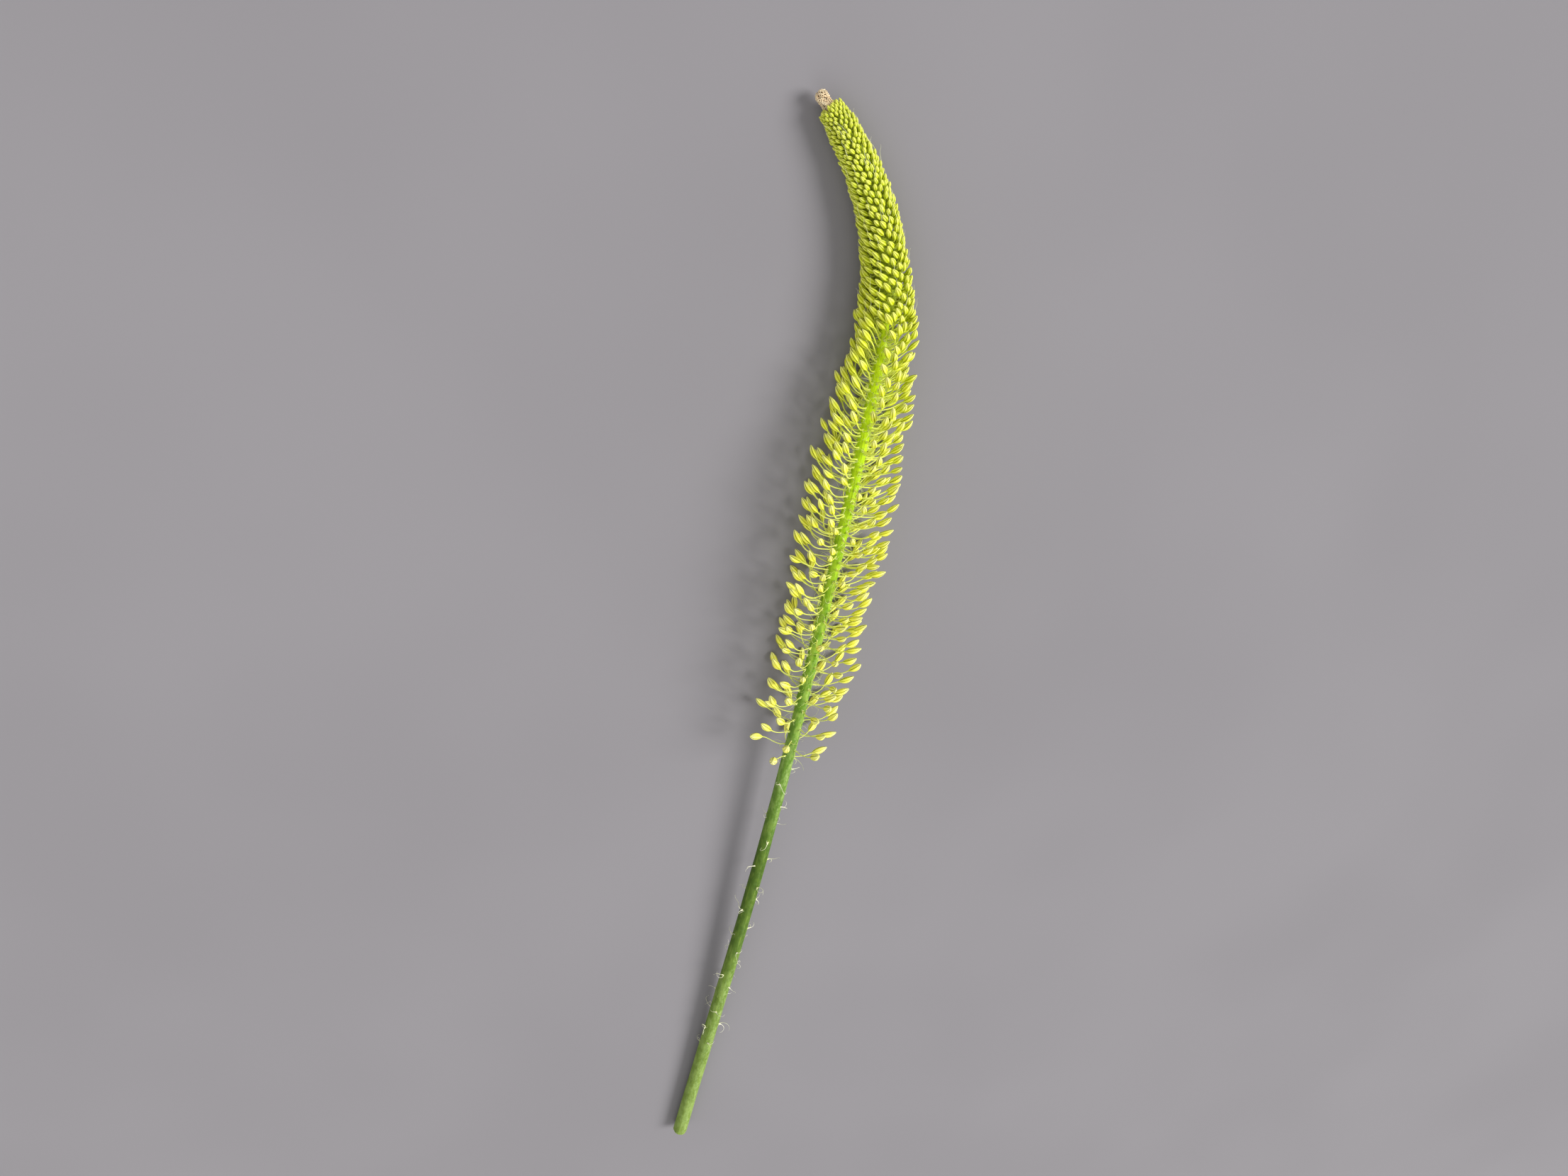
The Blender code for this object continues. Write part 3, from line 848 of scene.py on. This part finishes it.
# The raceme's buds
# Each is a closed flower, six pale tepals folded edge to edge round a pointed spindle. A dark olive
# midrib runs up the back of every tepal, and the paler edges meet in shallow seams.
PLUMPNESS = ((0.74, 0.0), (0.80, 0.4), (0.85, 0.9), (0.893, 1.0))
TEPALS = 6
OUTER_TEPALS = 3
TEPAL_RELIEF = 0.035
OUTER_RELIEF = 0.025
BUD_BOW = 0.045
BELLY = 0.07
# The share of the bud's length, and its width there in an open raceme bud and in a head bud.
BUD_FORM = (
    (0.0, 0.20, 0.24), (0.04, 0.30, 0.38), (0.11, 0.50, 0.58), (0.20, 0.72, 0.77), (0.31, 0.90, 0.92),
    (0.43, 1.0, 1.0), (0.55, 1.0, 1.0), (0.67, 0.91, 0.93), (0.78, 0.75, 0.79), (0.87, 0.55, 0.60),
    (0.94, 0.36, 0.42), (0.985, 0.19, 0.22), (1.0, 0.06, 0.07),
)
BUD_COLOURS = (
    (0.444, srgb(253, 244, 120)),
    (0.50, srgb(248, 240, 80)),
    (0.58, srgb(247, 243, 60)),
    (0.66, srgb(238, 239, 38)),
    (0.72, srgb(221, 228, 12)),
    (0.80, srgb(190, 204, 2)),
    (0.893, srgb(178, 196, 2)),
)


def bud_rings(feet, tips, widths, outwards, distances, sides, seed):
    """Rings of buds, and their marks: how far up the bud, and how many millimetres from an outer and
    from an inner midrib."""
    draw = np.random.default_rng(seed)
    count = len(feet)
    places, slender, plump = (np.array(column) for column in zip(*BUD_FORM))
    plumpness = np.clip(at(PLUMPNESS, distances) + draw.uniform(-0.15, 0.15, count), 0, 1)[:, None]
    sizes = slender * (1 - plumpness) + plump * plumpness
    axis = unit(tips - feet)
    length = np.linalg.norm(tips - feet, axis=-1)
    across = unit(np.cross(axis, outwards + 1e-6))
    back = np.cross(across, axis)
    roll = draw.uniform(0, math.tau, count)
    bend = draw.uniform(0.4, 1.4, count) * BUD_BOW * length
    centre = feet[:, None] + axis[:, None] * (length[:, None] * places)[..., None]
    centre += back[:, None] * (bend[:, None] * np.sin(math.pi * places) ** 1.2)[..., None]
    turn = np.arange(sides) * math.tau / sides
    tepal = np.cos(TEPALS * turn)  # 1 on a midrib, -1 on a seam
    outer = np.cos(OUTER_TEPALS * turn)  # 1 on an outer midrib, -1 on an inner
    body = np.clip(np.sin(math.pi * np.clip(places, 0.02, 0.98)), 0, 1)[:, None]
    relief = 1 + body * (TEPAL_RELIEF * tepal + OUTER_RELIEF * outer)[None]
    radius = widths[:, None, None] / 2 * sizes[..., None] * relief[None]
    angle = roll[:, None] + turn
    spoke = across[:, None] * np.cos(angle)[..., None] + back[:, None] * np.sin(angle)[..., None]
    radius = radius * (1 + BELLY * np.sin(angle))[:, None]
    rings = centre[:, :, None] + spoke[:, None] * radius[..., None]
    rings = rings[:, :, ::-1]  # across, back and the axis are left-handed in this order
    # This is 0 on an outer midrib and 1 on an inner.
    off_outer = np.abs(np.mod(turn * OUTER_TEPALS / math.tau + 0.5, 1.0) - 0.5) * 2
    sixth = radius * math.tau / TEPALS * MM_PER_M
    to_outer = (sixth * off_outer)[:, :, ::-1]
    to_inner = (sixth * (1 - off_outer))[:, :, ::-1]
    up = np.broadcast_to(places[None, :, None], to_outer.shape)
    return rings, np.stack([up, to_outer, to_inner], axis=-1)


def bud_finish(name, midrib_strength, shine):
    """Yellow-green flesh, each bud a little different, greener at its foot and along its midribs and
    paler at its tip and along its seams, with a dark line on each midrib, bolder on the outer three."""
    finish = Finish(name, 0.42, glow=0.32, shine=shine)
    up, to_outer, to_inner = finish.mark("tepal")
    distance, chance, second = finish.mark("bud")
    to_midrib = finish.combine("MINIMUM", to_outer, to_inner)
    to_seam = finish.combine("ABSOLUTE", finish.combine("SUBTRACT", to_outer, to_inner))
    flesh = finish.bands(distance, BUD_COLOURS)
    in_raceme_share = finish.fade(distance, 0.68, 0.80, 1.0, 0.0)
    varied = finish.combine("ADD", 0.5, finish.combine("MULTIPLY", in_raceme_share, 0.5))
    paler = finish.combine("MULTIPLY", finish.fade(chance, 0.0, 1.0, 0.0, 0.4), varied)
    flesh = finish.blend(paler, flesh, srgb(246, 244, 84))
    flesh = finish.blend(finish.fade(second, 0.55, 1.0, 0.0, 0.4), flesh, srgb(200, 210, 4))
    flesh = finish.blend(finish.fade(up, 0.0, 0.45, 0.5, 0.0), flesh, srgb(208, 220, 4))
    pale_tip = finish.blend(in_raceme_share, srgb(246, 248, 132), srgb(250, 249, 170))
    flesh = finish.blend(finish.fade(up, 0.50, 1.0, 0.0, 0.7), flesh, pale_tip)
    flesh = finish.blend(finish.fade(to_seam, 0.0, 0.7, 0.6, 0.0), flesh, pale_tip)
    flesh = finish.blend(finish.fade(to_midrib, 0.1, 0.5, 0.26, 0.0), flesh, srgb(194, 202, 4))
    bold = finish.fade(to_outer, 0.10, 0.28, midrib_strength, 0.0)
    faint = finish.fade(to_inner, 0.04, 0.18, midrib_strength * 0.8, 0.0)
    line = finish.combine("MULTIPLY", finish.combine("MAXIMUM", bold, faint), finish.fade(up, 0.03, 0.16))
    line = finish.combine("MULTIPLY", line, finish.fade(up, 0.90, 1.0, 1.0, 0.3))
    flesh = finish.blend(line, flesh, srgb(72, 76, 0))
    veins = finish.noise(finish.place("tepal", (0.5, 7.0, 7.0)), 1.0, 1.0)
    return finish, flesh, veins


VEIN_DEPTH = 0.00008


def make_buds(name, chosen, sides, seed, midrib_strength, shine, node):
    rings, tepal = bud_rings(
        feet[chosen], tips[chosen], widths[chosen], outwards[chosen], distances[chosen], sides, seed
    )
    draw = np.random.default_rng(seed + 1)
    chance, second = draw.uniform(0, 1, len(rings)), draw.uniform(0, 1, len(rings))
    bud = np.stack([distances[chosen], chance, second], axis=-1)
    piece = lofted(name, rings, tepal=tepal, bud=bud[:, None, None])
    finish, colour, height = bud_finish(name + "_finish", midrib_strength, shine)
    finish.dress(piece, colour, height, VEIN_DEPTH)
    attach(piece, "root")
    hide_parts(node)


LOWER_END = 0.63
lower = in_raceme & (distances < LOWER_END)
upper = in_raceme & (distances >= LOWER_END)
make_buds("lower_buds", lower, 24, 21, 0.97, 0.25, "open_raceme")
make_buds("upper_buds", upper, 24, 22, 0.95, 0.2, "open_raceme")


# The bracts
# Under every bud stalk sits a narrow bract that ends in a long limp hair, pale green to cream. The
# hairs stray between the stalks and curl back on the stem.
BRACT_DROP = 0.0012
HAIRS_A_BRACT = 2
bract_places = list(zip(distances[in_raceme] - BRACT_DROP, turns[in_raceme]))
bract_rows = thread_rows(bract_places, HAIRS_A_BRACT, (0.005, 0.015), (0.3, 5.5), 31)
bract_hairs = make_threads(
    "bract_hairs", bract_rows, 0.00014, 0.00030, srgb(238, 240, 172), srgb(196, 214, 84)
)
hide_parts("open_raceme")


# The dense head
# The youngest buds, packed in spirals on short stalks and all pointing to the tip. They are plump
# grains with a faint midrib, and hide the thin stem in their midst.
# A thick green core fills the head in place of the thin stem, the crowded stalks and the shade between them;
# its darker greens are partly painted shade.
CORE_RADIUS = (
    (0.768, 0.0028), (0.785, 0.0066), (0.84, 0.0066), (0.872, 0.0048), (0.886, 0.0026), (0.893, 0.0013),
)
CORE_RINGS = 90
CORE_SIDES = 32
CORE_BUMP = 0.0006
core_at = np.linspace(HEAD_START, TIP_START - 0.0003, CORE_RINGS)
core_turn = -np.arange(CORE_SIDES) * math.tau / CORE_SIDES
coarse = np.sin(core_turn * 9 + core_at[:, None] * 900)
close = np.sin(core_at[:, None] * 2600 + core_turn * 4)
bumps = CORE_BUMP * coarse * close
core_radius = at(CORE_RADIUS, core_at)[:, None] + bumps
core = lofted("head_core", rings_round(core_at, core_turn, core_radius)[None])
finish = Finish("crowded_green_and_painted_shade", 0.7)
shade = finish.noise(finish.place(), 900, 3.0)
crowded = finish.blend(finish.fade(shade, 0.35, 0.65), srgb(124, 140, 2), srgb(176, 192, 10))
finish.dress(core, crowded, shade, CORE_BUMP)
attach(core, "root")
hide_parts("bud_head")

UPPER_START = 0.832
lower = ~in_raceme & (distances < UPPER_START)
upper = ~in_raceme & (distances >= UPPER_START)
make_stalks("head_stalks", ~in_raceme, 6, 6, 6, 0.85, "bud_head")
make_buds("head_buds_lower", lower, 18, 23, 0.8, 0.14, "bud_head")
make_buds("head_buds_upper", upper, 18, 24, 0.6, 0.14, "bud_head")

# Some of the head's buds keep a fine pale hair, which lies along the spike.
HAIRY_SHARE = 0.24
HAIRLESS_END = 0.012
hairy = np.random.default_rng(37)
lucky = ~in_raceme & (hairy.uniform(0, 1, len(feet)) < HAIRY_SHARE) & (distances < TIP_START - HAIRLESS_END)
head_rows = thread_rows(list(zip(distances[lucky], turns[lucky])), 1, (0.005, 0.011), (0.1, 0.8), 38)
_, _, _, along = course(distances[lucky])
head_starts = along + 0.04 * outwards[lucky] + hairy.normal(0, 0.10, along.shape)
head_roots = tips[lucky] * 0.8 + feet[lucky] * 0.2 + outwards[lucky] * widths[lucky, None] * 0.2
head_rows = (head_roots, head_starts, *head_rows[2:])
head_hairs = make_threads("head_hairs", head_rows, 0.00011, 0.0, srgb(246, 244, 206), srgb(222, 226, 150))
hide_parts("bud_head")


# The withered tip
# The end of the spike dries up before its buds open. What is left is a tan, crumbling knob: a stub of
# stem with shrivelled bud remains crowded on it like a net.
STUB_RADIUS = ((0.886, 0.0024), (0.893, 0.0025), (0.900, 0.0027), (0.904, 0.0018))
STUB_RINGS = 30
STUB_SIDES = 24
STUB_CRUMPLE = 0.16
stub_at = np.linspace(TIP_START - 0.004, SPIKE_LENGTH - 0.0012, STUB_RINGS)
stub_turn = -np.arange(STUB_SIDES) * math.tau / STUB_SIDES
crumple = np.array(
    [[noise.noise((math.cos(a) * 3, d * 1500, math.sin(a) * 3)) for a in stub_turn] for d in stub_at]
)
stub_radius = at(STUB_RADIUS, stub_at)[:, None] * (1 + STUB_CRUMPLE * crumple)
stub = lofted("tip_stub", rings_round(stub_at, stub_turn, stub_radius)[None])

NET_RADIUS = ((0.888, 0.0034), (0.896, 0.0033), (0.901, 0.0037), (0.904, 0.0035))
NET_STRANDS = 210
NET_FROM = TIP_START - 0.0035
NET_SPAN = 0.0130
NET_END = SPIKE_LENGTH - 0.0003
NET_ROUNDING = 0.003
STRAND_LENGTH = (0.0026, 0.0056)
STRAND_GIRTH = (0.00012, 0.00026)
STRAND_KNOTS = (0.6, 1.0, 0.8, 1.3, 0.8, 1.35, 0.8, 1.1, 0.4)
STRAND_SIDES = 6
STRAND_ROUGHNESS = 0.00002
draw = random.Random(9)
paths, radii, tones = [], [], []
for number in range(NET_STRANDS):
    share = number / (NET_STRANDS - 1)
    turn = number * GOLDEN_ANGLE
    start = NET_FROM + NET_SPAN * share
    length = draw.uniform(*STRAND_LENGTH) * (1 - 0.35 * share)
    height = draw.uniform(0.80, 1.0)
    sway = draw.uniform(-0.7, 0.7)
    wave = draw.uniform(0.03, 0.10)
    path = []
    for step in range(len(STRAND_KNOTS)):
        way = step / (len(STRAND_KNOTS) - 1)
        distance = min(start + length * way, NET_END)
        point, side, up, _ = course(distance)
        swept = turn + sway * way + 0.13 * math.sin(way * 9 + number)
        outward = side * math.cos(swept) + up * math.sin(swept)
        over = max(0.0, distance - SPIKE_LENGTH + NET_ROUNDING) / NET_ROUNDING
        closing = math.sqrt(max(0.0, 1 - over**2))
        ripple = 1 + wave * math.sin(way * 11 + number)
        radius = at(NET_RADIUS, distance) * height * ripple * (0.25 + 0.75 * closing)
        path.append(point + outward * radius)
    paths.append(path)
    girth = draw.uniform(*STRAND_GIRTH)
    radii.append([girth * size for size in STRAND_KNOTS])
    tones.append((draw.random(), share, draw.random()))
remains_rings = tubes(np.array(paths), np.array(radii), STRAND_SIDES)
rough = np.random.default_rng(4).normal(0, STRAND_ROUGHNESS, remains_rings.shape)
tones = np.broadcast_to(np.array(tones)[:, None, None], remains_rings.shape)
remains = lofted("tip_remains", remains_rings + rough, tone=tones)
for piece in (stub, remains):
    finish = Finish(piece.name + "_finish", 0.85)
    chance, _, _ = finish.mark("tone")
    grain = finish.noise(finish.place(), 1800, 3.0)
    dry = finish.blend(finish.fade(grain, 0.3, 0.7), srgb(240, 222, 184), srgb(206, 170, 128))
    dry = finish.blend(finish.fade(chance, 0.4, 1.0, 0.0, 0.8), dry, srgb(246, 234, 198))
    # The stub under the net is darkened to deep brown: painted shade for the hollows that show between the
    # strands.
    if piece is stub:
        dry = finish.blend(0.85, dry, srgb(62, 42, 24))
    finish.dress(piece, dry, grain, 0.0003)
    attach(piece, "root")
    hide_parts("withered_tip")


# The floor and the light
# A plain pale floor, and soft studio light: a broad lamp far off to the upper right, as in the
# photograph, two weak ones from the left and from the foot, and an even glow all round.
FLOOR_SIZE = 30.0
FLOOR_DROP = 0.0003
bpy.ops.mesh.primitive_plane_add(size=FLOOR_SIZE, location=(0, 0, -FLOOR_DROP))
floor = bpy.context.object
floor.name = "floor"
finish = Finish("pale_floor", 0.9)
cloudy = finish.fade(finish.noise(finish.place(), 3.0), 0.3, 0.7)
finish.dress(floor, finish.blend(cloudy, srgb(124, 121, 124), srgb(128, 125, 128)))

# Each lamp's name, the place that its light comes from, its width in degrees and its strength.
LAMPS = (
    ("key", (1.16, 0.52, 1.00), 28.0, 3.75),
    ("fill", (-1.1, 0.1, 0.9), 50.0, 0.30),
    ("low", (0.3, -1.2, 0.8), 50.0, 0.62),
)
LAMP_AIM = Vector((0.0, 0.12, 0.0))
GLOW = 0.63
for name, place, width_deg, strength in LAMPS:
    lamp_data = bpy.data.lights.new(name, "SUN")
    lamp_data.angle = math.radians(width_deg)
    lamp_data.energy = strength
    lamp = bpy.data.objects.new(name, lamp_data)
    lamp.location = place
    lamp.rotation_euler = (LAMP_AIM - Vector(place)).to_track_quat("-Z", "Y").to_euler()
    bpy.context.scene.collection.objects.link(lamp)

world = bpy.data.worlds.new("studio")
bpy.context.scene.world = world
world.use_nodes = True
world.node_tree.nodes["Background"].inputs["Color"].default_value = (1.0, 1.0, 1.0, 1.0)
world.node_tree.nodes["Background"].inputs["Strength"].default_value = GLOW
bpy.context.scene.view_settings.view_transform = "Standard"
